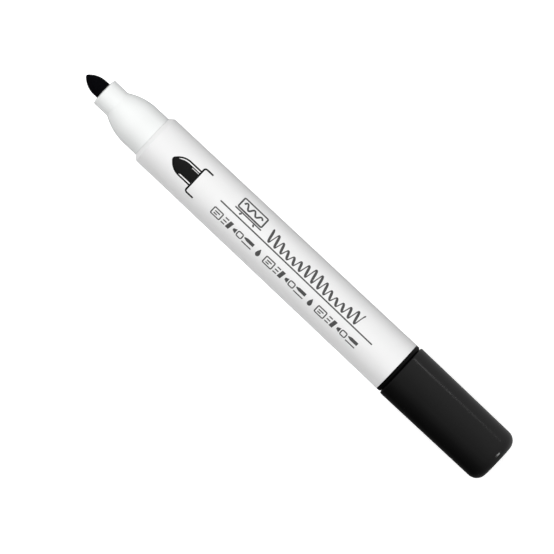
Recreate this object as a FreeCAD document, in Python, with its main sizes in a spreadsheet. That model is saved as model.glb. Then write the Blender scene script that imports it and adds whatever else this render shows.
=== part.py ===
"""A fibre-reservoir whiteboard marker with its cap posted on the rear plug, as a parametric FreeCAD document.

The marker lies on its side. Every sub-part is a PartDesign body drawn in the marker's own axial coordinates:
X runs along the axis from the nib's tip, and a radius r is measured out from the axis. The placement that all
bodies share then puts the middle of the length at X = 0 and the lowest point of the cap at Z = 0.
"""

import FreeCAD
import Part
import math
import os
import re

import Sketcher

PARTS_FOLDER = "parts"
SHEET = "Sizes"

# Driving dimensions in millimetres. x_ is a distance from the nib's tip and r_ a radius; cap_x_ is a distance
# from the cap's mouth; the others are lengths, thicknesses and counts.
DIMENSIONS = {
    # nib
    "r_nib": 2.60,
    "nib_ogive": 7.00,
    "x_nib_shoulder": 5.20,
    "x_nib_taper": 37.00,
    "x_nib_end": 41.00,
    "r_nib_end": 1.20,
    # nose cone
    "x_nose_front": 6.45,
    "nose_face_depth": 0.30,
    "r_nose_tube": 4.32,
    "nose_edge_round": 0.30,
    "x_bell_start": 11.90,
    "bell_root_round": 0.90,
    "x_bell_end": 20.50,
    "r_collar": 6.76,
    "x_skirt_end": 33.90,
    "skirt_step": 0.22,
    "skirt_wall": 1.15,
    "r_sleeve": 3.80,
    "x_sleeve_root": 13.60,
    "x_sleeve_end": 35.90,
    "web_thickness": 0.90,
    "web_count": 4,
    "vent_width": 0.60,
    "vent_depth": 0.28,
    "vent_count": 4,
    # barrel
    "x_barrel_front": 25.10,
    "barrel_lip": 0.15,
    "x_barrel_shoulder": 26.30,
    "x_barrel_rear": 118.60,
    "r_barrel_front": 7.93,
    "r_barrel_rear": 8.25,
    "x_barrel_seat": 34.00,
    "r_barrel_bore_front": 6.90,
    "r_barrel_bore_rear": 7.00,
    "r_rib": 6.12,
    "x_rib_end": 104.50,
    "rib_thickness": 0.90,
    "rib_count": 6,
    "x_socket": 105.60,
    "x_snap": 112.00,
    "snap_width": 1.00,
    "snap_height": 0.20,
    # reservoir
    "x_reservoir_front": 36.00,
    "x_reservoir_rear": 105.50,
    "r_reservoir": 6.05,
    "film_thickness": 0.12,
    # rear plug
    "x_spigot": 108.20,
    "r_spigot": 7.06,
    "spigot_lead": 0.60,
    "flange_thickness": 1.40,
    "r_flange": 8.20,
    "flange_bevel": 0.45,
    "r_post": 6.78,
    "r_post_end": 6.70,
    "post_length": 8.50,
    "post_round": 0.90,
    "r_plug_bore": 5.70,
    "plug_end_wall": 1.30,
    "x_fin_end": 115.00,
    "fin_thickness": 0.90,
    "fin_count": 4,
    # cap
    "cap_length": 37.15,
    "r_cap_mouth": 8.50,
    "r_cap_end": 8.25,
    "cap_end_round": 3.35,
    "cap_mouth_round": 0.50,
    "cap_x_seat": 14.20,
    "r_cap_bore_mouth": 7.35,
    "r_cap_bore_seat": 7.20,
    "cap_seat_step": 0.35,
    "r_cap_bore_end": 6.60,
    "cap_end_wall": 1.30,
    "cap_inner_round": 2.00,
    "cap_bore_bevel": 0.30,
    "r_grip": 6.84,
    "cap_x_grip_start": 0.80,
    "cap_x_grip_end": 9.40,
    "grip_thickness": 0.70,
    "grip_count": 6,
    "r_gate": 1.20,
    "gate_depth": 0.20,
    # inner cap
    "inner_flange_thickness": 1.20,
    "r_inner_mouth": 5.10,
    "r_inner_cup": 5.70,
    "r_inner_cup_end": 5.10,
    "r_inner_bore": 4.50,
    "r_inner_bore_end": 3.90,
    "cap_x_inner_end": 30.20,
    "inner_end_wall": 1.20,
    "cap_x_seal": 17.00,
    "seal_width": 1.20,
    "r_seal": 4.37,
    # clearances
    "fit_gap": 0.04,
    "cap_gap": 0.05,
}

OVERALL_LENGTH = "(x_barrel_rear + flange_thickness + cap_gap + cap_length)"
CAP_MOUTH = "(x_barrel_rear + flange_thickness + cap_gap)"


def bound(formula):
    """A formula in the words of DIMENSIONS, with each word pointed at its spreadsheet cell."""
    return re.sub(
        r"[a-z_]+", lambda word: f"{SHEET}.{word[0]}" if word[0] in DIMENSIONS else word[0], formula
    )


def from_cap_mouth(outline):
    """An outline whose X values count from the cap's mouth, moved to where the posted cap is."""
    return [(f"{CAP_MOUTH} + {x}", *rest) for x, *rest in outline]


def box_outline(x_low, x_high, r_low, r_high):
    """A rectangle in the plane through the axis."""
    return [(x_low, r_low), (x_low, r_high), (x_high, r_high), (x_high, r_low)]


def tangent_arc_radius(run, rise):
    """The radius of an arc that climbs rise over run and ends level."""
    return f"(({run})^2 + ({rise})^2) / (2 * ({rise}))"


def require(condition, message):
    if not condition:
        raise RuntimeError(message)


class TurnedBody:
    """A PartDesign body that is mostly turned about the marker's axis."""

    def __init__(self, document, label):
        self.document = document
        self.sheet = document.getObject(SHEET)
        self.body = document.addObject("PartDesign::Body", label)
        self.body.Label = label

    def value(self, formula):
        return float(self.sheet.evalExpression(bound(formula)))

    def origin_feature(self, role):
        return next(item for item in self.body.Origin.OriginFeatures if item.Role == role)

    def draw(self, name, outline):
        """Draws a closed outline on the plane through the axis and binds every corner to its formulas.

        An entry is (x, r), or (x, r, radius) where an arc of that radius arrives at the corner. The arc
        bulges to the left of its direction of travel.
        """
        sketch = self.body.newObject("Sketcher::SketchObject", name)
        sketch.AttachmentSupport = [(self.origin_feature("XZ_Plane"), "")]
        sketch.MapMode = "FlatFace"
        sketch.Visibility = False
        corners = [FreeCAD.Vector(self.value(entry[0]), self.value(entry[1]), 0) for entry in outline]
        arrivals = []
        departures = []
        for number, entry in enumerate(outline):
            start = corners[number - 1]
            end = corners[number]
            if len(entry) == 3:
                # Sketcher stores arcs anticlockwise, so a left-bulging arc ends where the outline enters it.
                sketch.addGeometry(left_bulging_arc(start, end, self.value(entry[2])), False)
                departures.append(2)
                arrivals.append(1)
            else:
                sketch.addGeometry(Part.LineSegment(start, end), False)
                departures.append(1)
                arrivals.append(2)
        for number, entry in enumerate(outline):
            following = (number + 1) % len(outline)
            sketch.addConstraint(
                Sketcher.Constraint(
                    "Coincident", number, arrivals[number], following, departures[following]
                )
            )
            self.bind(sketch, "DistanceX", number, arrivals[number], entry[0])
            self.bind(sketch, "DistanceY", number, arrivals[number], entry[1])
            if len(entry) == 3:
                radius = sketch.addConstraint(
                    Sketcher.Constraint("Radius", number, self.value(entry[2]))
                )
                sketch.setExpression(f"Constraints[{radius}]", bound(entry[2]))
        return sketch

    def bind(self, sketch, direction, geometry, point, formula):
        """Fixes one coordinate of a sketch point to a formula, or to the sketch axis where it is zero."""
        value = self.value(formula)
        if value == 0:
            axis = -1 if direction == "DistanceY" else -2
            sketch.addConstraint(Sketcher.Constraint("PointOnObject", geometry, point, axis))
        else:
            index = sketch.addConstraint(
                Sketcher.Constraint(direction, -1, 1, geometry, point, value)
            )
            sketch.setExpression(f"Constraints[{index}]", bound(formula))

    def apply(self, feature):
        """Makes a feature the body's tip and works it out."""
        self.body.Tip = feature
        self.document.recompute()

    def turn(self, name, outline):
        """Turns an outline into the body's first solid."""
        sketch = self.draw(f"{name}_outline", outline)
        turned = self.body.newObject("PartDesign::Revolution", name)
        turned.Profile = sketch
        turned.ReferenceAxis = (self.origin_feature("X_Axis"), [""])
        turned.Angle = 360.0
        self.apply(turned)

    def groove(self, name, outline):
        """Cuts an outline all the way round."""
        before = self.body.Tip.Shape.Volume
        sketch = self.draw(f"{name}_outline", outline)
        cut = self.body.newObject("PartDesign::Groove", name)
        cut.Profile = sketch
        cut.ReferenceAxis = (self.origin_feature("X_Axis"), [""])
        cut.Angle = 360.0
        self.apply(cut)
        require(cut.Shape.Volume < before, f"{name} cuts nothing")

    def blades(self, kind, name, outline, thickness, count):
        """Adds (Pad) or cuts (Pocket) a flat blade through the axis plane, repeated evenly round the axis."""
        before = self.body.Tip.Shape.Volume
        sketch = self.draw(f"{name}_outline", outline)
        blade = self.body.newObject(f"PartDesign::{kind}", name)
        blade.Profile = sketch
        blade.SideType = "Symmetric"
        blade.setExpression("Length", bound(thickness))
        self.apply(blade)
        pattern = self.body.newObject("PartDesign::PolarPattern", f"{name}_pattern")
        pattern.Originals = [blade]
        pattern.Axis = (self.origin_feature("X_Axis"), [""])
        pattern.Angle = 360.0
        pattern.setExpression("Occurrences", bound(count))
        self.apply(pattern)
        change = pattern.Shape.Volume - before
        require(change > 0 if kind == "Pad" else change < 0, f"{name} changes nothing")

    def soften(self, kind, name, x, r, size):
        """Rounds (Fillet) or bevels (Chamfer) the circular edge at distance x with radius r."""
        reach = 1e-3
        base = self.body.Tip
        edges = []
        for number, edge in enumerate(base.Shape.Edges, start=1):
            curve = edge.Curve
            if not isinstance(curve, Part.Circle):
                continue
            off = abs(curve.Center.x - self.value(x)) + abs(curve.Radius - self.value(r))
            if off < reach and math.hypot(curve.Center.y, curve.Center.z) < reach:
                edges.append(f"Edge{number}")
        require(bool(edges), f"{name} has no edge to work on")
        softened = self.body.newObject(f"PartDesign::{kind}", name)
        softened.Base = (base, edges)
        softened.setExpression("Radius" if kind == "Fillet" else "Size", bound(size))
        self.apply(softened)

    def place(self):
        """Lays the body down in the part's frame."""
        self.body.setExpression(".Placement.Base.x", bound(f"-{OVERALL_LENGTH} / 2"))
        self.body.setExpression(".Placement.Base.z", bound("r_cap_mouth"))


def left_bulging_arc(start, end, radius):
    """The arc of this radius from start to end that bulges to the left of its direction of travel."""
    chord = end - start
    right = FreeCAD.Vector(chord.y, -chord.x, 0).normalize()
    centre = (start + end) * 0.5 + right * math.sqrt(radius ** 2 - (chord.Length / 2) ** 2)
    circle = Part.Circle(centre, FreeCAD.Vector(0, 0, 1), radius)
    from_angle = math.atan2(end.y - centre.y, end.x - centre.x)
    to_angle = math.atan2(start.y - centre.y, start.x - centre.x)
    return Part.ArcOfCircle(circle, from_angle, to_angle)


def nib(document):
    """A bullet nib of pressed fibre: a rounded tip, an ogive, a long stem and a blunt tail."""
    part = TurnedBody(document, "nib")
    centre_drop = "(nib_ogive - r_nib)"
    tip_round = f"((nib_ogive^2 - x_nib_shoulder^2 - {centre_drop}^2) / (2 * (nib_ogive - x_nib_shoulder)))"
    tip_end_x = f"x_nib_shoulder - nib_ogive * (x_nib_shoulder - {tip_round}) / (nib_ogive - {tip_round})"
    tip_end_r = f"{centre_drop} * {tip_round} / (nib_ogive - {tip_round})"
    part.turn(
        "bullet",
        [
            ("0", "0"),
            (tip_end_x, tip_end_r, tip_round),
            ("x_nib_shoulder", "r_nib", "nib_ogive"),
            ("x_nib_taper", "r_nib"),
            ("x_nib_end", "r_nib_end"),
            ("x_nib_end", "0"),
        ],
    )
    return part


def nose_cone(document):
    """The front moulding: a tube round the nib, a bell, the cap's collar and a skirt inside the barrel."""
    part = TurnedBody(document, "nose_cone")
    bore = "r_nib + fit_gap"
    skirt = "r_collar - skirt_step"
    inside = "r_collar - skirt_wall"
    bell_radius = tangent_arc_radius("x_bell_end - x_bell_start", "r_collar - r_nose_tube")
    part.turn(
        "shell",
        [
            ("x_nose_front", bore),
            ("x_nose_front + nose_face_depth", "r_nose_tube"),
            ("x_bell_start", "r_nose_tube"),
            ("x_bell_end", "r_collar", bell_radius),
            ("x_barrel_front", "r_collar"),
            ("x_barrel_front", skirt),
            ("x_skirt_end", skirt),
            ("x_skirt_end", inside),
            ("x_bell_end", inside),
            ("x_sleeve_root", "r_sleeve"),
            ("x_sleeve_end", "r_sleeve"),
            ("x_sleeve_end", bore),
        ],
    )
    part.soften(
        "Fillet", "front_edge", "x_nose_front + nose_face_depth", "r_nose_tube", "nose_edge_round"
    )
    part.soften("Fillet", "bell_root", "x_bell_start", "r_nose_tube", "bell_root_round")
    part.blades(
        "Pad",
        "web",
        box_outline(
            "x_bell_end",
            "x_skirt_end - web_thickness",
            "r_sleeve - web_thickness / 2",
            f"{inside} + web_thickness / 2",
        ),
        "web_thickness",
        "web_count",
    )
    part.blades(
        "Pocket",
        "vent",
        box_outline(
            "x_nose_front - vent_width", "x_sleeve_end + vent_width", "r_nib / 2", f"{bore} + vent_depth"
        ),
        "vent_width",
        "vent_count",
    )
    return part


def barrel(document):
    """The handle: a drafted tube with a bevelled front lip, ribs round the reservoir and a snap groove."""
    part = TurnedBody(document, "barrel")
    seat = "r_collar - skirt_step + fit_gap"
    socket = "r_spigot + fit_gap"
    part.turn(
        "tube",
        [
            ("x_barrel_front + fit_gap", seat),
            ("x_barrel_front + fit_gap", "r_collar + barrel_lip"),
            ("x_barrel_shoulder", "r_barrel_front"),
            ("x_barrel_rear", "r_barrel_rear"),
            ("x_barrel_rear", socket),
            ("x_socket", socket),
            ("x_socket", "r_barrel_bore_rear"),
            ("x_barrel_seat", "r_barrel_bore_front"),
            ("x_barrel_seat", seat),
        ],
    )
    part.groove(
        "snap_groove",
        box_outline(
            "x_snap - snap_width / 2 - snap_height",
            "x_snap + snap_width / 2 + snap_height",
            "r_plug_bore",
            f"{socket} + snap_height",
        ),
    )
    part.blades(
        "Pad",
        "rib",
        box_outline("x_barrel_seat", "x_rib_end", "r_rib", "r_barrel_bore_rear + rib_thickness / 2"),
        "rib_thickness",
        "rib_count",
    )
    return part


def reservoir_film(document):
    """The clear film wrapped round the ink fibre."""
    part = TurnedBody(document, "reservoir_film")
    part.turn(
        "wrap",
        box_outline(
            "x_reservoir_front", "x_reservoir_rear", "r_reservoir - film_thickness", "r_reservoir"
        ),
    )
    return part


def reservoir_fibre(document):
    """The ink-soaked fibre bundle, with the socket that the nib's tail makes in its front."""
    part = TurnedBody(document, "reservoir_fibre")
    radius = "r_reservoir - film_thickness - fit_gap / 2"
    part.turn(
        "bundle",
        [
            ("x_reservoir_front", "r_nib + fit_gap"),
            ("x_reservoir_front", radius),
            ("x_reservoir_rear", radius),
            ("x_reservoir_rear", "0"),
            ("x_nib_end + fit_gap", "0"),
            ("x_nib_end + fit_gap", "r_nib_end + fit_gap"),
            ("x_nib_taper", "r_nib + fit_gap"),
        ],
    )
    return part


def rear_plug(document):
    """The black plug that closes the barrel: spigot with snap bead, visible flange and posting stub."""
    part = TurnedBody(document, "rear_plug")
    flange_rear = "x_barrel_rear + flange_thickness"
    post_end = f"{flange_rear} + post_length"
    part.turn(
        "plug",
        [
            ("x_spigot", "r_plug_bore"),
            ("x_spigot", "r_spigot - spigot_lead"),
            ("x_spigot + spigot_lead", "r_spigot"),
            ("x_snap - snap_width / 2", "r_spigot"),
            ("x_snap - snap_width / 2 + snap_height", "r_spigot + snap_height"),
            ("x_snap + snap_width / 2 - snap_height", "r_spigot + snap_height"),
            ("x_snap + snap_width / 2", "r_spigot"),
            ("x_barrel_rear", "r_spigot"),
            ("x_barrel_rear", "r_flange"),
            (f"{flange_rear} - flange_bevel", "r_flange"),
            (flange_rear, "r_flange - flange_bevel"),
            (flange_rear, "r_post"),
            (post_end, "r_post_end"),
            (post_end, "0"),
            (f"{post_end} - plug_end_wall", "0"),
            (f"{post_end} - plug_end_wall", "r_plug_bore"),
        ],
    )
    part.soften("Fillet", "post_edge", post_end, "r_post_end", "post_round")
    part.blades(
        "Pad",
        "fin",
        box_outline(
            "x_reservoir_rear + fit_gap", "x_fin_end", "0", "r_plug_bore + fit_gap"
        ),
        "fin_thickness",
        "fin_count",
    )
    return part


def cap_shell(document):
    """The cap: a drafted cup with a rounded closed end, grip ribs in its mouth and a seat for the inner cap."""
    part = TurnedBody(document, "cap_shell")
    bore_end = "cap_length - cap_end_wall"
    seat_r = "r_cap_bore_seat - cap_seat_step"
    part.turn(
        "cup",
        from_cap_mouth(
            [
                ("0", "r_cap_bore_mouth + cap_bore_bevel"),
                ("0", "r_cap_mouth"),
                ("cap_length", "r_cap_end"),
                ("cap_length", "0"),
                (bore_end, "0"),
                (bore_end, "r_cap_bore_end"),
                ("cap_x_seat", seat_r),
                ("cap_x_seat", "r_cap_bore_seat"),
                ("cap_bore_bevel", "r_cap_bore_mouth"),
            ]
        ),
    )
    cap_end = f"{CAP_MOUTH} + cap_length"
    part.soften("Fillet", "end_edge", cap_end, "r_cap_end", "cap_end_round")
    part.soften("Fillet", "mouth_edge", CAP_MOUTH, "r_cap_mouth", "cap_mouth_round")
    part.soften(
        "Fillet", "inner_edge", f"{CAP_MOUTH} + {bore_end}", "r_cap_bore_end", "cap_inner_round"
    )
    part.groove(
        "gate_dimple",
        from_cap_mouth(box_outline("cap_length - gate_depth", "cap_length + gate_depth", "0", "r_gate")),
    )
    part.blades(
        "Pad",
        "grip_rib",
        from_cap_mouth(
            box_outline(
                "cap_x_grip_start", "cap_x_grip_end", "r_grip", "r_cap_bore_mouth + grip_thickness / 2"
            )
        ),
        "grip_thickness",
        "grip_count",
    )
    return part


def inner_cap(document):
    """The sealing cup pressed into the cap: its bead closes on the nose tube when the marker is capped."""
    part = TurnedBody(document, "inner_cap")
    front = "cap_x_seat - inner_flange_thickness"
    cup_bottom = "cap_x_inner_end - inner_end_wall"
    lead = "(r_inner_mouth - r_inner_bore)"
    part.turn(
        "cup",
        from_cap_mouth(
            [
                (front, "r_inner_mouth"),
                (front, "r_cap_bore_seat - fit_gap"),
                ("cap_x_seat - fit_gap", "r_cap_bore_seat - fit_gap"),
                ("cap_x_seat - fit_gap", "r_inner_cup"),
                ("cap_x_inner_end", "r_inner_cup_end"),
                ("cap_x_inner_end", "0"),
                (cup_bottom, "0"),
                (cup_bottom, "r_inner_bore_end"),
                ("cap_x_seal + seal_width / 2", "r_inner_bore"),
                ("cap_x_seal", "r_seal"),
                ("cap_x_seal - seal_width / 2", "r_inner_bore"),
                (f"{front} + {lead}", "r_inner_bore"),
            ]
        ),
    )
    return part


def spreadsheet(document):
    """The driving dimensions as named cells."""
    sheet = document.addObject("Spreadsheet::Sheet", SHEET)
    for row, (alias, number) in enumerate(DIMENSIONS.items(), start=1):
        sheet.set(f"A{row}", alias)
        sheet.set(f"B{row}", str(number))
        sheet.setAlias(f"B{row}", alias)
    document.recompute()


def check(document, parts):
    """Stops if any feature failed or any sub-part isn't one valid solid."""
    for item in document.Objects:
        failed = {"Invalid", "Error"} & set(item.State)
        require(not failed, f"{item.Name} is in state {item.State}")
    for part in parts:
        shape = part.body.Shape
        require(not shape.isNull() and shape.isValid(), f"{part.body.Label} has no valid shape")
        require(len(shape.Solids) == 1, f"{part.body.Label} has {len(shape.Solids)} solids")


def main():
    document = FreeCAD.newDocument("whiteboard_marker")
    spreadsheet(document)
    makers = [
        barrel,
        nose_cone,
        nib,
        reservoir_fibre,
        reservoir_film,
        rear_plug,
        cap_shell,
        inner_cap,
    ]
    parts = [make(document) for make in makers]
    for part in parts:
        part.place()
    document.recompute()
    check(document, parts)
    os.makedirs(PARTS_FOLDER, exist_ok=True)
    for part in parts:
        shape = part.body.Shape
        shape.exportStep(os.path.join(PARTS_FOLDER, f"{part.body.Label}.step"))
        box = shape.BoundBox
        print(
            f"{part.body.Label:16s} volume {shape.Volume:8.1f} mm3   x {box.XMin:7.2f} to {box.XMax:7.2f}"
            f"   z {box.ZMin:6.2f} to {box.ZMax:6.2f}"
        )


main()
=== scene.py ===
"""A whiteboard marker, cap posted, photographed from straight above on a pale lit table.

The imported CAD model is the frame. The visible mouldings are turned again here as fine meshes with their edge
radii, the nib gets its felt, and the print on the barrel is laid on as thin films of ink. Lengths are metres.
"""

import itertools
import math

import bpy
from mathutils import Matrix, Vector, noise


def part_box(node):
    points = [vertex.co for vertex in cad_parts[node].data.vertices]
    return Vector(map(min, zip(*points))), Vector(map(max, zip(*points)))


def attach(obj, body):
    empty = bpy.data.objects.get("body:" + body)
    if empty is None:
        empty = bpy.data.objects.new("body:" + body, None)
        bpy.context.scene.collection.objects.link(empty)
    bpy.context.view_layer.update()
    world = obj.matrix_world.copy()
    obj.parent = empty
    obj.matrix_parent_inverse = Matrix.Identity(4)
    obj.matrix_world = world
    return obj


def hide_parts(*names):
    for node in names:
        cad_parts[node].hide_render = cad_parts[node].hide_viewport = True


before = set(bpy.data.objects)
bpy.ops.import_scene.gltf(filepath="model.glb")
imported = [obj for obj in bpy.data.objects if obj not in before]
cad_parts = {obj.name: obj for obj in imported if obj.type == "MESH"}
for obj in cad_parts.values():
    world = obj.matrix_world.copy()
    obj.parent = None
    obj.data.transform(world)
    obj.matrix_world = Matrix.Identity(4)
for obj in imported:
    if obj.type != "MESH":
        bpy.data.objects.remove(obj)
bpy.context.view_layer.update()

MM = 0.001

# How fine the meshes are: points round a turned piece, the turn of one step and the fewest steps in a
# rounded edge, how near an edge a long run's extra point lies, and the turn from which an edge is shaded
# sharp. A point nearer the axis than ON_AXIS closes its piece there.
SEGMENTS = 288
ROUNDING_TURN = math.radians(9)
FEWEST_STEPS = 4
EDGE_SUPPORT = 0.15 * MM
CREASE = math.radians(32)
ON_AXIS = 1e-9

# Places along the axis, read from the frame.
NIB_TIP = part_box("nib")[0].x
NOSE_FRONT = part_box("nose_cone")[0].x
BARREL_FRONT, BARREL_REAR = (corner.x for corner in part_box("barrel"))
PLUG_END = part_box("rear_plug")[1].x
CAP_MOUTH, CAP_END = (corner.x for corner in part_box("cap_shell"))
AXIS_Z = (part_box("nib")[0].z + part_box("nib")[1].z) / 2


def half_width(node):
    """A turned node's largest radius."""
    low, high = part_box(node)
    return (high.y - low.y) / 2


R_NIB = half_width("nib")
R_COLLAR = half_width("nose_cone")
R_BARREL_REAR = half_width("barrel")
R_FLANGE = half_width("rear_plug")
R_CAP_MOUTH = half_width("cap_shell")

# What a box doesn't give. Pieces that touch stand FIT_GAP apart, and NEAR is a tolerance for picking rings.
FIT_GAP = 0.04 * MM
NEAR = 0.05 * MM

# The nib: a rounded tip, an ogive up to its shoulder, a round stem and a tapered tail inside the reservoir.
# Its fibres fade out this near the axis.
NIB_OGIVE = 7.0 * MM
NIB_SHOULDER = NIB_TIP + 5.2 * MM
NIB_TAPER = 4.0 * MM
R_NIB_TAIL = 1.2 * MM
FIBRE_FADE = 0.8 * MM

# The nose: tube, bell and collar outside, and inside them the nib's vented sleeve and the skirt.
R_TUBE = 4.32 * MM
BELL_START = NIB_TIP + 11.9 * MM
BELL_END = NIB_TIP + 20.5 * MM
SLEEVE_ROOT = NIB_TIP + 13.6 * MM
R_SLEEVE = 3.8 * MM
R_SKIRT = R_COLLAR - 0.22 * MM
R_SKIRT_INSIDE = R_COLLAR - 1.15 * MM
SKIRT_END = NIB_TIP + 33.9 * MM
SLEEVE_END = SKIRT_END + 2.0 * MM
VENTS = 4
VENT_HALF = 0.3 * MM
VENT_DEPTH = 0.28 * MM

# The barrel: its outside, the skirt's seat, the ribbed bore and the socket of the rear plug.
BARREL_SHOULDER = BARREL_FRONT + 1.2 * MM
R_BARREL_FRONT = 7.93 * MM
BARREL_SEAT = NIB_TIP + 34.0 * MM
R_BARREL_BORE = 6.95 * MM
SOCKET = NIB_TIP + 105.6 * MM
BARREL_RIBS = 6
BARREL_RIB_HALF = 0.45 * MM
BARREL_RIB_END = SOCKET - 1.0 * MM
R_BARREL_RIBS = 6.12 * MM

# The rear plug: a spigot with a snap bead, the flange that shows as a ring, the post that carries the cap,
# and the fins inside.
PLUG_FRONT = NIB_TIP + 108.2 * MM
R_PLUG_BORE = 5.7 * MM
R_SPIGOT = 7.06 * MM
SPIGOT_LEAD = 0.6 * MM
SNAP = NIB_TIP + 112.0 * MM
SNAP_HALF = 0.5 * MM
SNAP_HEIGHT = 0.2 * MM
FLANGE_REAR = BARREL_REAR + 1.4 * MM
FLANGE_BEVEL = 0.45 * MM
R_POST_ROOT = 6.78 * MM
R_POST_END = 6.7 * MM
PLUG_END_WALL = 1.3 * MM
FINS_END = NIB_TIP + 115.0 * MM
FIN_HALF = 0.45 * MM
FIN_BEVEL = 0.1 * MM

# The cap: a drafted side and a rounded end outside, and a stepped bore with grip ribs at its mouth.
R_CAP_END = 8.25 * MM
CAP_END_ROUNDING = 3.35 * MM
CAP_END_WALL = 1.3 * MM
CAP_SEAT = CAP_MOUTH + 14.2 * MM
CAP_SEAT_STEP = 0.35 * MM
R_CAP_BORE_MOUTH = 7.35 * MM
R_CAP_BORE_SEAT = 7.2 * MM
R_CAP_BORE_END = 6.6 * MM
CAP_GRIPS = 6
CAP_GRIP_HALF = 0.35 * MM
CAP_GRIP_START = CAP_MOUTH + 0.8 * MM
CAP_GRIP_END = CAP_MOUTH + 9.4 * MM
R_CAP_GRIPS = 6.84 * MM


# ---------------------------------------------------------------- turned meshes


def rounded(corners):
    """Profile points from (x, r, rounding) corners: each rounding becomes an arc tangent to both sides."""
    places = [Vector(corner[:2]) for corner in corners]
    roundings = [corner[2] for corner in corners]
    points = []
    for number, (here, rounding) in enumerate(zip(places, roundings)):
        if rounding == 0:
            points.append(here)
            continue
        before = places[number - 1]
        after = places[(number + 1) % len(places)]
        to_before = (before - here).normalized()
        to_after = (after - here).normalized()
        half_angle = to_before.angle(to_after) / 2
        reach = rounding / math.tan(half_angle)
        centre = here + (to_before + to_after).normalized() * (rounding / math.sin(half_angle))
        start = here + to_before * reach - centre
        turn = start.angle_signed(here + to_after * reach - centre)
        steps = max(FEWEST_STEPS, math.ceil(abs(turn) / ROUNDING_TURN))
        for step in range(steps + 1):
            spin = -turn * step / steps
            along = start.x * math.cos(spin) - start.y * math.sin(spin)
            out = start.x * math.sin(spin) + start.y * math.cos(spin)
            points.append(centre + Vector((along, out)))
    return points


def arc(start, end, radius, steps, rounding=0):
    """Corners along an arc that bulges to the left of its travel; the first takes the rounding."""
    chord = end - start
    side = Vector((chord.y, -chord.x)).normalized()
    centre = (start + end) / 2 + side * math.sqrt(radius**2 - (chord.length / 2) ** 2)
    first = math.atan2(start.y - centre.y, start.x - centre.x)
    last = math.atan2(end.y - centre.y, end.x - centre.x)
    sweep = (last - first + math.pi) % (2 * math.pi) - math.pi
    corners = []
    for step in range(steps + 1):
        angle = first + sweep * step / steps
        x = centre.x + radius * math.cos(angle)
        r = centre.y + radius * math.sin(angle)
        corners.append((x, r, rounding if step == 0 else 0))
    return corners


def supported(points, closed):
    """The same profile with a point near each end of every long run, so that shading stays on its edge."""
    held = []
    count = len(points)
    for number, here in enumerate(points):
        held.append(here)
        if number == count - 1 and not closed:
            break
        run = points[(number + 1) % count] - here
        if run.length > 4 * EDGE_SUPPORT:
            step = run.normalized() * EDGE_SUPPORT
            held.append(here + step)
            held.append(here + run - step)
    return held


def turned(name, corners, reshape=None):
    """A mesh turned about the marker's axis from a closed profile, or one that ends on the axis twice.

    reshape(x, r, angle) may move a ring's points in or out, for ribs and slots.
    """
    closed = corners[0][1] > ON_AXIS
    vertices = []
    rings = []
    for point in supported(rounded(corners), closed):
        if point.y < ON_AXIS:
            rings.append([len(vertices)])
            vertices.append((point.x, 0, AXIS_Z))
            continue
        rings.append(list(range(len(vertices), len(vertices) + SEGMENTS)))
        for segment in range(SEGMENTS):
            angle = 2 * math.pi * segment / SEGMENTS
            r = reshape(point.x, point.y, angle) if reshape else point.y
            vertices.append((point.x, r * math.sin(angle), AXIS_Z + r * math.cos(angle)))
    faces = []
    pairs = list(itertools.pairwise(rings))
    if closed:
        pairs.append((rings[-1], rings[0]))
    for one, two in pairs:
        for segment in range(SEGMENTS):
            following = (segment + 1) % SEGMENTS
            if len(one) == 1:
                faces.append((one[0], two[segment], two[following]))
            elif len(two) == 1:
                faces.append((one[segment], two[0], one[following]))
            else:
                faces.append((one[segment], two[segment], two[following], one[following]))
    return piece(name, vertices, faces)


def piece(name, vertices, faces):
    """A smooth-shaded object, sharp along its creases."""
    mesh = bpy.data.meshes.new(name)
    mesh.from_pydata(vertices, [], faces)
    mesh.validate()
    mesh.shade_smooth()
    mesh.set_sharp_from_angle(angle=CREASE)
    made = bpy.data.objects.new(name, mesh)
    bpy.context.scene.collection.objects.link(made)
    return made


def add_to_marker(made, body, material, slot, *nodes):
    """Gives a piece its material and its body, and hides the CAD nodes that it stands for."""
    made.data.materials.append(material)
    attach(made, body)
    if nodes:
        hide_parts(*nodes)
    return made


def off_nearest(angle, count):
    """How far an angle is from the nearest of this many evenly spaced directions."""
    spacing = 2 * math.pi / count
    return abs((angle + spacing / 2) % spacing - spacing / 2)


def dimple(end, radius, depth, rounding):
    """The last corners of a moulding's profile: the shallow dimple in its end face where it was gated."""
    floor = end - depth
    return [(end, radius, rounding), (floor, radius - 0.1 * MM, rounding), (floor, 0, 0)]


# ---------------------------------------------------------------- the marker's pieces


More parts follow.
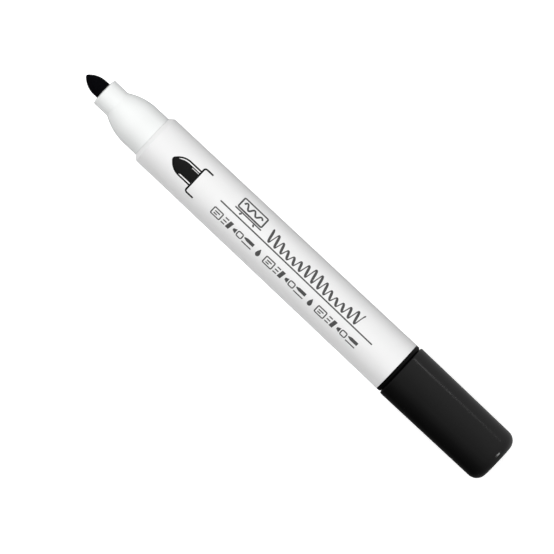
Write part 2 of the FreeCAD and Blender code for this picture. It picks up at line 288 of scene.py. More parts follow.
def make_nib(material):
    """A bullet nib whose surface shows its pressed fibres."""
    drop = NIB_OGIVE - R_NIB
    run = NIB_SHOULDER - NIB_TIP
    tip_r = (NIB_OGIVE**2 - run**2 - drop**2) / (2 * (NIB_OGIVE - run))
    share = NIB_OGIVE / (NIB_OGIVE - tip_r)
    touch = Vector((NIB_SHOULDER - (run - tip_r) * share, drop * (share - 1)))
    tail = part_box("nib")[1].x
    corners = arc(Vector((NIB_TIP, 0)), touch, tip_r, steps=14)
    corners += arc(touch, Vector((NIB_SHOULDER, R_NIB)), NIB_OGIVE, steps=60)[1:]
    # Close rings on the stem that shows, so that the fibres shape it too.
    corners += [(NIB_SHOULDER + 0.1 * MM * step, R_NIB, 0) for step in range(1, 16)]
    corners += [(tail - NIB_TAPER, R_NIB, 0), (tail, R_NIB_TAIL, 0), (tail, 0, 0)]

    def grain(x, across, length, width):
        """Noise in strands of this length and width."""
        return noise.noise(Vector((x / length, *(across / width))))

    def fibres(x, r, angle):
        across = r * Vector((math.sin(angle), math.cos(angle)))
        long_grain = grain(x, across, 2.2 * MM, 0.16 * MM)
        short_grain = grain(x, across, 0.25 * MM, 0.12 * MM)
        fade = min(1.0, r / FIBRE_FADE)
        return r - fade * MM * (0.022 + 0.022 * long_grain + 0.012 * short_grain)

    made = turned("felt_nib", corners, reshape=fibres)
    return add_to_marker(made, "marker", material, "nib_felt", "nib")


def make_nose(material):
    """The nose moulding: tube, bell, collar and the skirt inside the barrel, with the nib's vent slots."""
    bore = R_NIB + FIT_GAP
    bore_edge = bore + 0.1 * MM
    rise = R_COLLAR - R_TUBE
    bell_radius = ((BELL_END - BELL_START) ** 2 + rise**2) / (2 * rise)
    corners = [
        (NOSE_FRONT, bore, 0.06 * MM),
        (NOSE_FRONT + 0.3 * MM, R_TUBE, 0.3 * MM),
        *arc(Vector((BELL_START, R_TUBE)), Vector((BELL_END, R_COLLAR)), bell_radius, 18, 0.6 * MM),
        (BARREL_FRONT - FIT_GAP, R_COLLAR, 0.05 * MM),
        (BARREL_FRONT - FIT_GAP, R_SKIRT, 0),
        (SKIRT_END, R_SKIRT, 0.2 * MM),
        (SKIRT_END, R_SKIRT_INSIDE, 0.2 * MM),
        (BELL_END, R_SKIRT_INSIDE, 0.3 * MM),
        (SLEEVE_ROOT, R_SLEEVE, 0.2 * MM),
        (SLEEVE_END, R_SLEEVE, 0.2 * MM),
        (SLEEVE_END, bore, 0.1 * MM),
    ]

    def vents(x, r, angle):
        in_vent = r < bore_edge and off_nearest(angle, VENTS) * r < VENT_HALF
        return r + VENT_DEPTH if in_vent else r

    made = turned("nose_moulding", corners, reshape=vents)
    return add_to_marker(made, "marker", material, "nose_plastic", "nose_cone")


def make_barrel(material):
    """The drafted barrel tube with its bevelled lip, the ribs inside it and the groove for the snap bead."""
    seat = R_SKIRT + FIT_GAP
    socket = R_SPIGOT + FIT_GAP
    groove_half = SNAP_HALF + SNAP_HEIGHT
    corners = [
        (BARREL_FRONT, seat, 0.04 * MM),
        (BARREL_FRONT, R_COLLAR + 0.15 * MM, 0.08 * MM),
        (BARREL_SHOULDER, R_BARREL_FRONT, 0.3 * MM),
        (BARREL_REAR, R_BARREL_REAR, 0.06 * MM),
        (BARREL_REAR, socket, 0.06 * MM),
        (SNAP + groove_half, socket, 0),
        (SNAP + groove_half, socket + SNAP_HEIGHT, 0),
        (SNAP - groove_half, socket + SNAP_HEIGHT, 0),
        (SNAP - groove_half, socket, 0),
        (SOCKET, socket, 0),
        (SOCKET, R_BARREL_BORE, 0),
        (BARREL_SEAT, R_BARREL_BORE, 0),
        (BARREL_SEAT, seat, 0),
    ]

    def ribs(x, r, angle):
        in_bore = BARREL_SEAT - NEAR < x < BARREL_RIB_END and abs(r - R_BARREL_BORE) < NEAR
        on_rib = off_nearest(angle, BARREL_RIBS) * r < BARREL_RIB_HALF
        return R_BARREL_RIBS if in_bore and on_rib else r

    made = turned("barrel_tube", corners, reshape=ribs)
    return add_to_marker(made, "marker", material, "barrel_plastic", "barrel")


def make_rear_plug(material):
    """The rear plug: the black ring that shows, the post that the cap sits on and the beaded spigot."""
    end_wall = PLUG_END - PLUG_END_WALL
    corners = [
        (end_wall, 0, 0),
        (end_wall, R_PLUG_BORE, 0.3 * MM),
        (PLUG_FRONT, R_PLUG_BORE, 0.1 * MM),
        (PLUG_FRONT, R_SPIGOT - SPIGOT_LEAD, 0.2 * MM),
        (PLUG_FRONT + SPIGOT_LEAD, R_SPIGOT, 0.2 * MM),
        (SNAP - SNAP_HALF, R_SPIGOT, 0),
        (SNAP - SNAP_HALF + SNAP_HEIGHT, R_SPIGOT + SNAP_HEIGHT, 0.05 * MM),
        (SNAP + SNAP_HALF - SNAP_HEIGHT, R_SPIGOT + SNAP_HEIGHT, 0.05 * MM),
        (SNAP + SNAP_HALF, R_SPIGOT, 0),
        (BARREL_REAR, R_SPIGOT, 0),
        (BARREL_REAR, R_FLANGE, 0.12 * MM),
        (FLANGE_REAR - FLANGE_BEVEL, R_FLANGE, 0.15 * MM),
        (FLANGE_REAR, R_FLANGE - FLANGE_BEVEL, 0.1 * MM),
        (FLANGE_REAR, R_POST_ROOT, 0.15 * MM),
        (PLUG_END, R_POST_END, 0.9 * MM),
        *dimple(PLUG_END, 1.0 * MM, 0.15 * MM, 0.1 * MM),
    ]
    made = turned("rear_plug_moulding", corners)
    return add_to_marker(made, "marker", material, "plug_plastic", "rear_plug")


def make_plug_fins(material):
    """The crossed fins inside the plug that hold the reservoir forward."""
    reach = R_PLUG_BORE + FIT_GAP
    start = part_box("rear_plug")[0].x
    sections = ((start, FIN_BEVEL), (start + FIN_BEVEL, 0), (FINS_END - FIN_BEVEL, 0), (FINS_END, FIN_BEVEL))
    vertices = []
    for x, inset in sections:
        tip = reach - inset
        side = FIN_HALF - inset
        for fin in range(4):
            along = Vector((math.cos(fin * math.pi / 2), math.sin(fin * math.pi / 2)))
            across = Vector((-along.y, along.x))
            for spot in (along * tip - across * side, along * tip + across * side, (along + across) * side):
                vertices.append((x, spot.x, AXIS_Z + spot.y))
    outline = len(vertices) // len(sections)
    last = (len(sections) - 1) * outline
    faces = []
    for first in range(0, last, outline):
        for number in range(outline):
            one = first + number
            two = first + (number + 1) % outline
            faces.append((one, two, two + outline, one + outline))
    # An end is a square between the inner corners, and one strip for each fin.
    inner = [(3 * fin - 1) % outline for fin in range(4)]
    strips = [(inner[fin], 3 * fin, 3 * fin + 1, inner[(fin + 1) % 4]) for fin in range(4)]
    for face in (inner, *strips):
        faces.append(tuple(reversed(face)))
        faces.append(tuple(vertex + last for vertex in face))
    return add_to_marker(piece("rear_plug_fins", vertices, faces), "marker", material, "plug_plastic")


def make_cap(material):
    """The cap with its drafted side, rounded end, gate dimple and the grip ribs inside its mouth."""
    bottom = CAP_END - CAP_END_WALL
    corners = [
        (bottom, 0, 0),
        (bottom, R_CAP_BORE_END, 2.0 * MM),
        (CAP_SEAT, R_CAP_BORE_SEAT - CAP_SEAT_STEP, 0.05 * MM),
        (CAP_SEAT, R_CAP_BORE_SEAT, 0.05 * MM),
        (CAP_GRIP_END, R_CAP_BORE_SEAT + 0.05 * MM, 0),
        (CAP_GRIP_START, R_CAP_BORE_MOUTH - 0.01 * MM, 0),
        (CAP_MOUTH + 0.3 * MM, R_CAP_BORE_MOUTH, 0.1 * MM),
        (CAP_MOUTH, R_CAP_BORE_MOUTH + 0.3 * MM, 0.1 * MM),
        (CAP_MOUTH, R_CAP_MOUTH, 0.5 * MM),
        (CAP_END, R_CAP_END, CAP_END_ROUNDING),
        *dimple(CAP_END, 1.2 * MM, 0.2 * MM, 0.08 * MM),
    ]

    def grips(x, r, angle):
        in_bore = CAP_GRIP_START - NEAR < x < CAP_GRIP_END + NEAR and r < R_CAP_BORE_MOUTH
        on_grip = off_nearest(angle, CAP_GRIPS) * r < CAP_GRIP_HALF
        return R_CAP_GRIPS if in_bore and on_grip else r

    made = turned("cap_moulding", corners, reshape=grips)
    return add_to_marker(made, "cap", material, "cap_plastic", "cap_shell")


# ---------------------------------------------------------------- print on the barrel


# A film's top stands proud of the barrel and its root is sunk in it; a stroke bends in steps of this length.
INK_HEIGHT = 0.012 * MM
INK_ROOT = 0.02 * MM
STROKE_STEP = 0.35 * MM

# The printed nib, with light lines left open in its dark body, and the bracket of its holder.
SYMBOL_TIP = NIB_TIP + 33.64 * MM
SYMBOL_BASE = NIB_TIP + 42.04 * MM
SYMBOL_CENTRE = -0.22 * MM
SYMBOL_HALF = 2.56 * MM
SYMBOL_OGIVE = 4.5 * MM
SYMBOL_POINT = 0.75 * MM
SYMBOL_SWELL = 0.12 * MM
SYMBOL_LINE = 0.48 * MM
SYMBOL_STEPS = 48
EDGE_LIGHT = 0.36 * MM
SPLIT_LENGTH = 2.75 * MM
SPLIT_NEAR = 0.34 * MM
SPLIT_FAR = 0.52 * MM
LEAST_FILL = 0.01 * MM
BRACKET_CENTRE = -0.5 * MM
BRACKET_HALF = 4.46 * MM
BRACKET_ARM = 3.0 * MM
BRACKET_CORNER = 0.75 * MM
BRACKET_LINE = 0.54 * MM

# The rule with a row above it and a row below it, all at a slight slant.
RULE_START = NIB_TIP + 51.2 * MM
RULE_END = NIB_TIP + 109.3 * MM
RULE_ACROSS = -0.06 * MM
RULE_WIDTH = 0.4 * MM
ROW_MIDDLE = (RULE_START + RULE_END) / 2
ROW_SLANT = -0.0078
UPPER_FOOT = 0.75 * MM
LOWER_ROW = -3.45 * MM
LOWER_START = RULE_START + 1.7 * MM
LOWER_SPACING = 3.98 * MM
LOWER_COUNT = 14
THIN = 0.36 * MM


def barrel_radius(x):
    """The barrel's outer radius at x."""
    share = (x - BARREL_SHOULDER) / (BARREL_REAR - BARREL_SHOULDER)
    return R_BARREL_FRONT + share * (R_BARREL_REAR - R_BARREL_FRONT)


class Print:
    """Films of ink on the barrel, drawn at (x, across): along it, and round it from its top line.

    slant turns the drawing a little on the barrel, about the middle of the printed rows.
    """

    def __init__(self, slant=0.0):
        self.slant = slant
        self.vertices = []
        self.faces = []

    def add_point(self, spot, lift):
        """A vertex at this place in the drawing, lifted off the barrel."""
        r = barrel_radius(spot.x) + lift
        angle = (spot.y + self.slant * (spot.x - ROW_MIDDLE)) / barrel_radius(spot.x)
        self.vertices.append((spot.x, r * math.sin(angle), AXIS_Z + r * math.cos(angle)))

    def film(self, left, right, closed=False, columns=4):
        """A closed film between two lines that run side by side."""
        base = len(self.vertices)
        rows = len(left)
        layer = rows * (columns + 1)
        for lift in (INK_HEIGHT, -INK_ROOT):
            for one, two in zip(left, right):
                for column in range(columns + 1):
                    self.add_point(one.lerp(two, column / columns), lift)

        def top(row, column):
            """The vertex on the film's top in this row and column."""
            return base + (row % rows) * (columns + 1) + column

        for row in range(rows if closed else rows - 1):
            for column in range(columns):
                face = [
                    top(row, column),
                    top(row, column + 1),
                    top(row + 1, column + 1),
                    top(row + 1, column),
                ]
                self.faces.append(face)
                self.faces.append([vertex + layer for vertex in reversed(face)])
            self.side(top(row + 1, 0), top(row, 0), layer)
            self.side(top(row, columns), top(row + 1, columns), layer)
        if not closed:
            for column in range(columns):
                self.side(top(0, column), top(0, column + 1), layer)
                self.side(top(rows - 1, column + 1), top(rows - 1, column), layer)

    def side(self, one, two, layer):
        """A face down the film's edge, from its top to its root."""
        self.faces.append([two, one, one + layer, two + layer])

    def stroke(self, line, width, closed=False):
        """A line of this width, in steps short enough to follow the barrel round."""
        corners = [*line, line[0]] if closed else line
        path = []
        for here, after in itertools.pairwise(corners):
            steps = max(1, math.ceil((after - here).length / STROKE_STEP))
            path += [here.lerp(after, number / steps) for number in range(steps)]
        if not closed:
            path.append(line[-1])
        left = []
        right = []
        count = len(path)
        for number, here in enumerate(path):
            before = path[number - 1] if closed or number > 0 else here
            after = path[(number + 1) % count] if closed or number < count - 1 else here
            heading = (after - before).normalized()
            side = Vector((-heading.y, heading.x)) * width / 2
            left.append(here + side)
            right.append(here - side)
        self.film(left, right, closed, columns=2)

    def made(self, name, material):
        """The drawing as a piece on the marker."""
        shape = piece(name, self.vertices, self.faces)
        return add_to_marker(shape, "marker", material, "cap_plastic")


def bend(centre, radius, from_degrees, to_degrees, steps=10):
    """Points round part of a circle."""
    points = []
    for step in range(steps + 1):
        angle = math.radians(from_degrees + (to_degrees - from_degrees) * step / steps)
        points.append(centre + Vector((math.cos(angle), math.sin(angle))) * radius)
    return points


def rounded_box(low, high, corner):
    """Points round a box with rounded corners."""
    points = []
    for x, y, first in (
        (high.x - corner, high.y - corner, 0),
        (low.x + corner, high.y - corner, 90),
        (low.x + corner, low.y + corner, 180),
        (high.x - corner, low.y + corner, 270),
    ):
        points += bend(Vector((x, y)), corner, first, first + 90, steps=4)
    return points


def symbol_half_width(x):
    """Half the printed nib's width at x: a rounded point, an ogive and straight sides."""
    along = x - SYMBOL_TIP
    if along >= SYMBOL_OGIVE:
        return SYMBOL_HALF
    ogive_r = (SYMBOL_OGIVE**2 + SYMBOL_HALF**2) / (2 * SYMBOL_HALF)
    ogive = math.sqrt(ogive_r**2 - (SYMBOL_OGIVE - along) ** 2) - (ogive_r - SYMBOL_HALF)
    point = math.sqrt(max(0.0, SYMBOL_POINT**2 - (SYMBOL_POINT - along) ** 2))
    swell = SYMBOL_SWELL * (1 - along / SYMBOL_OGIVE)
    return max(point if along < SYMBOL_POINT else 0.0, ogive + swell)


def symbol_stations(start):
    """Places from start to the symbol's base, closer together at its rounded tip."""
    run = SYMBOL_BASE - start
    return [start + run * (number / SYMBOL_STEPS) ** 2 for number in range(SYMBOL_STEPS + 1)]


def symbol_spot(x, across):
    """A place on the symbol, from its centre line."""
    return Vector((x, SYMBOL_CENTRE + across))


def symbol_outline():
    """The printed nib's outline and the bracket of its holder."""
    drawing = Print()
    stations = symbol_stations(SYMBOL_TIP)
    outer = [symbol_spot(x, symbol_half_width(x)) for x in reversed(stations[1:])]
    outer.append(symbol_spot(SYMBOL_TIP, 0))
    outer += [symbol_spot(x, -symbol_half_width(x)) for x in stations[1:]]
    drawing.stroke(outer, SYMBOL_LINE)
    arm_end = SYMBOL_BASE + BRACKET_ARM
    high = BRACKET_CENTRE + BRACKET_HALF
    low = BRACKET_CENTRE - BRACKET_HALF
    corner_x = SYMBOL_BASE + BRACKET_CORNER
    bracket = [Vector((arm_end, high))]
    bracket += bend(Vector((corner_x, high - BRACKET_CORNER)), BRACKET_CORNER, 90, 180)
    bracket += bend(Vector((corner_x, low + BRACKET_CORNER)), BRACKET_CORNER, 180, 270)
    bracket.append(Vector((arm_end, low)))
    drawing.stroke(bracket, BRACKET_LINE)
    return drawing


def symbol_fill():
    """The dark body inside the outline, with the light lines that show its roundness left open."""
    drawing = Print()
    stations = symbol_stations(SYMBOL_TIP + SYMBOL_LINE / 2)
    split = SYMBOL_BASE - SPLIT_LENGTH

    def half_fill(x, light_start, light_run):
        """Half the fill's width: a light line beside it starts this far from the tip and opens in a run."""
        light = EDGE_LIGHT * min(1.0, max(0.0, (x - SYMBOL_TIP - light_start) / light_run))
        return max(LEAST_FILL, symbol_half_width(x) - SYMBOL_LINE / 2 - light)

    def high_edge(x):
        return half_fill(x, 0.8 * MM, 0.9 * MM)

    def low_edge(x):
        return -half_fill(x, 4.0 * MM, 0.3 * MM)

    def split_high(x):
        return high_edge(x) - SPLIT_NEAR

    def split_low(x):
        return high_edge(x) - SPLIT_FAR

    whole_stations = [*[x for x in stations if x <= split], split]
    split_stations = [split, *[x for x in stations if x > split]]
    for places, high, low, columns in (
        (whole_stations, high_edge, low_edge, 16),
        (split_stations, high_edge, split_high, 4),
        (split_stations, split_low, low_edge, 12),
    ):
        left = [symbol_spot(x, high(x)) for x in places]
        right = [symbol_spot(x, low(x)) for x in places]
        drawing.film(left, right, columns=columns)
    return drawing


def rule():
    """The straight rule along the top of the barrel."""
    drawing = Print(ROW_SLANT)
    drawing.stroke([Vector((RULE_START, RULE_ACROSS)), Vector((RULE_END, RULE_ACROSS))], RULE_WIDTH)
    return drawing


def upper_row():
    """Above the rule: a whiteboard on its stand, then a sample of thick and thin pen strokes."""
    drawing = Print(ROW_SLANT)
    draw_whiteboard(drawing, RULE_START + 4.6 * MM, RULE_START + 13.4 * MM)
    draw_sample(drawing, RULE_START + 16.4 * MM, RULE_START + 51.6 * MM)
    return drawing


def draw_whiteboard(drawing, left, right):
    """A whiteboard with a wave drawn on it, a tray under it and two legs."""
    bottom = UPPER_FOOT + 1.5 * MM
    top = UPPER_FOOT + 5.0 * MM
    tray = bottom - 0.62 * MM
    board = rounded_box(Vector((left, bottom)), Vector((right, top)), 0.35 * MM)
    drawing.stroke(board, 0.5 * MM, closed=True)
    drawing.stroke([Vector((left - 0.5 * MM, tray)), Vector((right + 0.5 * MM, tray))], 0.4 * MM)
    for lean in (-1, 1):
        start = Vector(((left + right) / 2 + lean * 2.2 * MM, bottom - 0.9 * MM))
        drawing.stroke([start, Vector((start.x + lean * 0.5 * MM, UPPER_FOOT))], 0.5 * MM)
    wave = []
    steps = 36
    for step in range(steps + 1):
        share = step / steps
        swing = math.sin(share * 5 * math.pi) * (0.9 - 0.35 * share)
        wave.append(Vector((left + (1.0 + 6.8 * share) * MM, (bottom + top) / 2 + swing * MM)))
    drawing.stroke(wave, 0.55 * MM)


def draw_sample(drawing, start, end):
    """A wavy stroke as a broad nib writes it: thick on the way down and thin on the way up."""
    waves = 15
    steps = 30 * waves
    left = []
    right = []
    for step in range(steps + 1):
        share = step / steps
        phase = share * waves * 2 * math.pi
        tall = (1.45 + 0.5 * math.cos(share * 4 * math.pi)) * MM
        here = Vector((start + (end - start) * share, UPPER_FOOT + tall * (1 + math.cos(phase))))
        slope = -tall * math.sin(phase) * waves * 2 * math.pi / (end - start)
        side = Vector((-slope, 1)).normalized()
        half = (0.27 + 0.12 * math.sin(phase)) * MM
        left.append(here + side * half)
        right.append(here - side * half)
    drawing.film(left, right)


def lower_row():
    """Below the rule: a row of plain symbols."""
    drawing = Print(ROW_SLANT)
    symbols = (draw_board, draw_pen, draw_wiper, draw_drop, draw_cap)
    for number in range(LOWER_COUNT):
        symbols[number * 2 % len(symbols)](drawing, LOWER_START + number * LOWER_SPACING)
    return drawing


def beside(x, along, across):
    """A place in the lower row, in millimetres from the middle of the symbol at x."""
    return Vector((x + along * MM, LOWER_ROW + across * MM))


def draw_board(drawing, x):
    """A small board."""
    drawing.stroke(rounded_box(beside(x, -1.6, -1.12), beside(x, 1.6, 1.12), 0.25 * MM), THIN, closed=True)
    drawing.stroke([beside(x, -0.9, 0.3), beside(x, 0.9, 0.3)], THIN)
    drawing.stroke([beside(x, -0.9, -0.4), beside(x, 0.3, -0.4)], THIN)


def draw_pen(drawing, x):
    """A small pen lying level above a line."""
    left = []
    right = []
    steps = 12
    for step in range(steps + 1):
        share = step / steps
        half = 0.5 * min(1.0, 0.3 + 2.4 * share)
        left.append(beside(x, 3.5 * share - 1.75, 0.5 + half))
        right.append(beside(x, 3.5 * share - 1.75, 0.5 - half))
    drawing.film(left, right)
    drawing.stroke([beside(x, -1.75, -0.95), beside(x, 1.75, -0.95)], THIN)


def draw_wiper(drawing, x):
    """A small eraser with the swipes that it leaves."""
    drawing.film([beside(x, 0.4, 1.2), beside(x, 1.6, 1.2)], [beside(x, 0, -1.2), beside(x, 1.2, -1.2)])
    for number in range(3):
        across = 0.95 - 0.95 * number
        end = -0.1 - 0.16 * number
        drawing.stroke([beside(x, end - 1.3, across), beside(x, end, across)], THIN)


def draw_drop(drawing, x):
    """A small ink drop."""
    left = []
    right = []
    steps = 20
    for step in range(steps + 1):
        share = step / steps
        half = 0.02 + 0.98 * max(0.0, math.sin(math.pi * share)) ** 0.6 * (0.25 + 0.75 * share)
        left.append(beside(x, half, 1.25 - 2.5 * share))
        right.append(beside(x, -half, 1.25 - 2.5 * share))
    drawing.film(left, right)


def draw_cap(drawing, x):
    """A small pen cap beside the end of its pen."""
    drawing.stroke(rounded_box(beside(x, -0.1, -0.8), beside(x, 1.7, 0.8), 0.4 * MM), THIN, closed=True)
    drawing.film([beside(x, -1.7, 0.3), beside(x, -0.6, 0.8)], [beside(x, -1.7, -0.3), beside(x, -0.6, -0.8)])


# ---------------------------------------------------------------- materials


# Most of a noise's values lie between these two.
NOISE_LOW = 0.3
NOISE_HIGH = 0.7


class Finish:
    """A node material on a Principled shader, worked out from places on the object itself."""

    def __init__(self, name, **constants):
        self.material = bpy.data.materials.new(name)
        self.material.use_nodes = True
        self.nodes = self.material.node_tree.nodes
        self.links = self.material.node_tree.links
        self.shader = self.nodes["Principled BSDF"]
        for socket, value in constants.items():
            self.shader.inputs[socket.replace("_", " ")].default_value = value
        self.place = self.nodes.new("ShaderNodeTexCoord").outputs["Object"]

    def noise(self, size, detail, stretch=(1, 1, 1)):
        """Noise with features of about this size, longer along an axis whose stretch is under 1."""
        mapping = self.nodes.new("ShaderNodeMapping")
        mapping.inputs["Scale"].default_value = stretch
        self.links.new(self.place, mapping.inputs["Vector"])
        texture = self.nodes.new("ShaderNodeTexNoise")
        texture.inputs["Scale"].default_value = 1 / size
        texture.inputs["Detail"].default_value = detail
        self.links.new(mapping.outputs["Vector"], texture.inputs["Vector"])
        return texture.outputs["Fac"]

    def between(self, source, low, high):
        """A number that follows a noise from low to high."""
        span = self.nodes.new("ShaderNodeMapRange")
        span.inputs["From Min"].default_value = NOISE_LOW
        span.inputs["From Max"].default_value = NOISE_HIGH
        span.inputs["To Min"].default_value = low
        span.inputs["To Max"].default_value = high
        self.links.new(source, span.inputs["Value"])
        return span.outputs["Result"]

    def colour(self, source, one, two):
        """Colour that follows a noise from one to two."""
        mix = self.nodes.new("ShaderNodeMix")
        mix.data_type = "RGBA"
        mix.inputs["A"].default_value = (*one, 1)
        mix.inputs["B"].default_value = (*two, 1)
        self.links.new(self.between(source, 0, 1), mix.inputs["Factor"])
        self.links.new(mix.outputs["Result"], self.shader.inputs["Base Color"])

    def roughness(self, source, low, high):
        """Roughness that follows a noise from low to high."""
        self.links.new(self.between(source, low, high), self.shader.inputs["Roughness"])

    def bump(self, *layers):
        """Height from (source, depth) layers, one bump after another."""
        normal = None
        for source, depth in layers:
            node = self.nodes.new("ShaderNodeBump")
            node.inputs["Distance"].default_value = depth
            self.links.new(source, node.inputs["Height"])
            if normal is not None:
                self.links.new(normal, node.inputs["Normal"])
            normal = node.outputs["Normal"]
        self.links.new(normal, self.shader.inputs["Normal"])


def white_plastic(name, pale, paler, rough, grain, ior=1.49):
    """White polypropylene: faint clouding, a mould grain this deep and slight sinks along the moulding."""
    finish = Finish(
        name,
        IOR=ior,
        Subsurface_Weight=0.08,
        Subsurface_Scale=0.4 * MM,
        Subsurface_Radius=(1, 1, 1),
    )
    finish.colour(finish.noise(9 * MM, 3.0, (0.4, 1, 1)), pale, paler)
    finish.roughness(finish.noise(2.5 * MM, 4.0), rough - 0.04, rough + 0.05)
    finish.bump(
        (finish.noise(7 * MM, 1.0, (0.35, 1, 1)), grain * 6),
        (finish.noise(0.12 * MM, 2.0), grain * 0.5),
    )
    return finish.material


def black_plastic(name, dark, less_dark, rough, grain, ior=1.45):
    """Black polypropylene: uneven gloss, a mould grain this deep and a slight waviness."""
    finish = Finish(name, IOR=ior)
    finish.colour(finish.noise(5 * MM, 4.0), dark, less_dark)
    finish.roughness(finish.noise(1.6 * MM, 5.0, (0.5, 1, 1)), rough - 0.03, rough + 0.06)
    finish.bump(
        (finish.noise(6 * MM, 1.0, (0.4, 1, 1)), grain * 8),
        (finish.noise(0.1 * MM, 2.0), grain),
    )
    return finish.material


def felt(name, dark, less_dark, lengthways):
    """Fibre soaked in ink: strands, longer for a smaller lengthways, with a dry, uneven surface."""
    finish = Finish(name, IOR=1.15)
    strands = finish.noise(0.12 * MM, 4.0, (lengthways, 1, 1))
    finish.colour(strands, dark, less_dark)
    finish.roughness(finish.noise(0.4 * MM, 3.0), 0.7, 0.98)
    finish.bump((strands, 0.05 * MM))
    return finish.material


def clear_film(name):
    """Thin clear film with faint wrinkles along the fibre."""
    finish = Finish(name, IOR=1.5, Transmission_Weight=0.7)
    finish.colour(finish.noise(4 * MM, 2.0), (0.82, 0.83, 0.85), (0.9, 0.91, 0.92))
    finish.roughness(finish.noise(2 * MM, 3.0), 0.08, 0.2)
    finish.bump((finish.noise(1.5 * MM, 2.0, (0.2, 1, 1)), 0.02 * MM))
    return finish.material


def milky_plastic(name):
    """Natural polyethylene, slightly waxy."""
    finish = Finish(
        name,
        IOR=1.5,
        Subsurface_Weight=0.2,
        Subsurface_Scale=0.8 * MM,
        Subsurface_Radius=(1, 0.9, 0.8),
    )
    finish.colour(finish.noise(3 * MM, 3.0), (0.74, 0.74, 0.70), (0.82, 0.82, 0.78))
    finish.roughness(finish.noise(1.5 * MM, 3.0), 0.38, 0.5)
    finish.bump((finish.noise(0.15 * MM, 2.0), 0.003 * MM))
    return finish.material


def printing_ink(name, dark, less_dark):
    """Screen-printed ink with the slight mottle of a thin film."""
    finish = Finish(name, IOR=1.3)
    finish.colour(finish.noise(0.5 * MM, 3.0), dark, less_dark)
    finish.roughness(finish.noise(0.8 * MM, 2.0), 0.45, 0.58)
    finish.bump((finish.noise(0.1 * MM, 2.0), 0.002 * MM))
    return finish.material


def grey(level):
    """An even grey."""
    return (level, level, level)


# ---------------------------------------------------------------- stage, light and camera


TABLE_HALF = 4.0
TABLE_GLOW = 0.5

# What the glossy plastics mirror: a room that brightens towards a side this far over from straight up, as
# (share of the way round from the dark side, grey) stops.
BRIGHT_SIDE = math.radians(60)
SURROUNDINGS = (
    (0.0, 0.025),
    (0.07, 0.06),
    (0.185, 0.11),
    (0.25, 0.17),
    (0.39, 0.25),
    (0.45, 0.31),
    (0.6, 0.35),
    (0.83, 0.46),
    (1.0, 0.57),
)

# The camera's lens and sensor in millimetres, its view, its turn and its aim from the marker's middle.
LENS = 600
SENSOR = 36
VIEW_WIDTH = 154.4 * MM
VIEW_TURN = math.radians(43.23)
AIM_RIGHT = -4.18 * MM
AIM_UP = -2.40 * MM

# The strip lamp stands square to the marker's axis here, past the nib.
STRIP_X = -0.10


def make_table():
    """A pale lit table top under the marker."""
    half = TABLE_HALF
    corners = [(-half, -half, 0), (half, -half, 0), (half, half, 0), (-half, half, 0)]
    table = piece("table_top", corners, [(0, 1, 2, 3)])
    finish = Finish("pale_table", Roughness=0.8, Emission_Color=(1, 1, 1, 1), Emission_Strength=TABLE_GLOW)
    finish.colour(finish.noise(400 * MM, 2.0), grey(0.86), grey(0.88))
    table.data.materials.append(finish.material)
    table.visible_diffuse = False
    table.visible_glossy = False
    table.visible_shadow = False


def softbox(name, place, size, power, x=0.0, only_glossy=False):
    """A soft lamp that faces the marker's axis at x, with its power in watts.

    Only diffuse light comes from it, or only mirrored light where only_glossy is set.
    """
    light = bpy.data.lights.new(name, "AREA")
    light.shape = "RECTANGLE"
    light.size, light.size_y = size
    light.energy = power
    lamp = bpy.data.objects.new(name, light)
    lamp.location = place
    lamp.rotation_mode = "QUATERNION"
    lamp.rotation_quaternion = (Vector((x, 0, AXIS_Z)) - lamp.location).to_track_quat("-Z", "Y")
    lamp.visible_camera = False
    lamp.visible_glossy = only_glossy
    lamp.visible_diffuse = not only_glossy
    bpy.context.scene.collection.objects.link(lamp)


def make_surroundings():
    """A soft grey room, darker on one side, that the plastics mirror; the camera sees plain white."""
    world = bpy.data.worlds.new("studio")
    world.use_nodes = True
    bpy.context.scene.world = world
    nodes = world.node_tree.nodes
    links = world.node_tree.links
    direction = nodes.new("ShaderNodeTexCoord").outputs["Generated"]
    towards = nodes.new("ShaderNodeVectorMath")
    towards.operation = "DOT_PRODUCT"
    towards.inputs[1].default_value = (0, math.sin(BRIGHT_SIDE), math.cos(BRIGHT_SIDE))
    links.new(direction, towards.inputs[0])
    share = nodes.new("ShaderNodeMath")
    share.operation = "MULTIPLY_ADD"
    share.inputs[1].default_value = 0.5
    share.inputs[2].default_value = 0.5
    links.new(towards.outputs["Value"], share.inputs[0])
    ramp = nodes.new("ShaderNodeValToRGB")
    stops = ramp.color_ramp.elements
    stops[0].color = (*grey(SURROUNDINGS[0][1]), 1)
    stops[1].color = (*grey(SURROUNDINGS[-1][1]), 1)
    for position, level in SURROUNDINGS[1:-1]:
        stops.new(position).color = (*grey(level), 1)
    links.new(share.outputs["Value"], ramp.inputs["Fac"])
    sight = nodes.new("ShaderNodeLightPath").outputs["Is Camera Ray"]
    mix = nodes.new("ShaderNodeMix")
    mix.data_type = "RGBA"
    mix.inputs["B"].default_value = (1, 1, 1, 1)
    links.new(sight, mix.inputs["Factor"])
    links.new(ramp.outputs["Color"], mix.inputs["A"])
    links.new(mix.outputs["Result"], nodes["Background"].inputs["Color"])


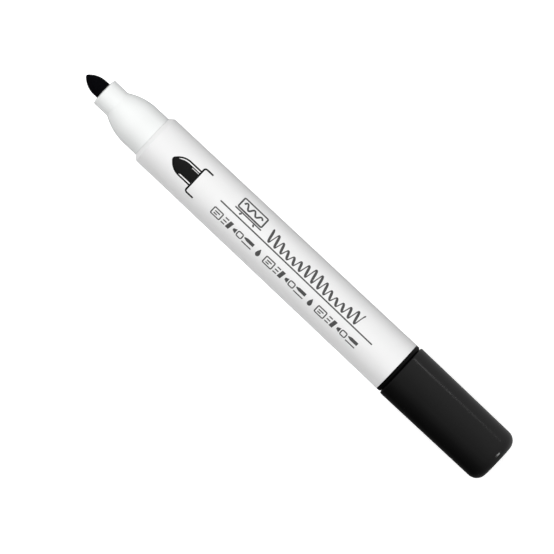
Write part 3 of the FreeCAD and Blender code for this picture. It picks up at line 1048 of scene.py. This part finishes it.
def make_camera():
    """Straight above, on a long lens, turned so that the marker runs from upper left to lower right."""
    camera = bpy.data.cameras.new("camera")
    camera.lens = LENS
    camera.sensor_width = SENSOR
    camera.clip_start = 0.1
    camera.clip_end = 20
    seen = bpy.data.objects.new("camera", camera)
    right = Vector((math.cos(VIEW_TURN), math.sin(VIEW_TURN), 0))
    up = Vector((-math.sin(VIEW_TURN), math.cos(VIEW_TURN), 0))
    away = Vector((0, 0, VIEW_WIDTH * LENS / SENSOR))
    middle = Vector(((NIB_TIP + CAP_END) / 2, 0, AXIS_Z))
    seen.location = middle + right * AIM_RIGHT + up * AIM_UP + away
    seen.rotation_euler = (0, 0, VIEW_TURN)
    bpy.context.scene.collection.objects.link(seen)
    bpy.context.scene.camera = seen


# ---------------------------------------------------------------- the scene


make_camera()
make_surroundings()
make_table()
softbox("overhead", (0, -0.12, 1.2), (2.4, 1.6), 15.5)
softbox("from_below", (0, -0.34, -0.94), (2.4, 1.4), 36)
softbox("nib_end", (-1.1, 0, 0.7), (0.9, 0.9), 4.5)
softbox("glint", (0.64, 0.16, 0.165), (0.1, 0.16), 0.4, x=CAP_END, only_glossy=True)
softbox("strip", (STRIP_X, 0.47, 0.18), (0.36, 0.015), 0.07, x=STRIP_X, only_glossy=True)

barrel_white = white_plastic("barrel_white", grey(0.845), grey(0.86), 0.38, 0.002 * MM)
nose_white = white_plastic("nose_white", (0.872, 0.887, 0.88), (0.892, 0.907, 0.9), 0.22, 0.001 * MM, ior=1.6)
make_barrel(barrel_white)
make_nose(nose_white)
make_nib(felt("ink_felt", (0.0006, 0.0006, 0.0012), (0.0022, 0.0022, 0.0034), 0.12))
plug_black = black_plastic("plug_black", grey(0.0008), grey(0.0014), 0.42, 0.0004 * MM, ior=1.22)
make_rear_plug(plug_black)
make_plug_fins(plug_black)
make_cap(black_plastic("cap_black", grey(0.0016), grey(0.0022), 0.16, 0.0005 * MM))

black_ink = printing_ink("black_ink", grey(0.0008), grey(0.0016))
dark_ink = printing_ink("dark_ink", grey(0.004), grey(0.006))
grey_ink = printing_ink("grey_ink", grey(0.07), grey(0.09))
symbol_outline().made("printed_nib_outline", black_ink)
symbol_fill().made("printed_nib_fill", dark_ink)
rule().made("printed_rule", grey_ink)
upper_row().made("printed_upper_row", grey_ink)
lower_row().made("printed_lower_row", grey_ink)

# The pieces inside the marker that the frame shows as they are.
carried = {
    "reservoir_fibre": felt("soaked_fibre", (0.004, 0.004, 0.006), (0.012, 0.012, 0.016), 0.05),
    "reservoir_film": clear_film("film"),
    "inner_cap": milky_plastic("natural_polyethylene"),
}
for node, material in carried.items():
    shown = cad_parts[node]
    shown.data.materials.clear()
    shown.data.materials.append(material)

bpy.context.scene.view_settings.view_transform = "Standard"
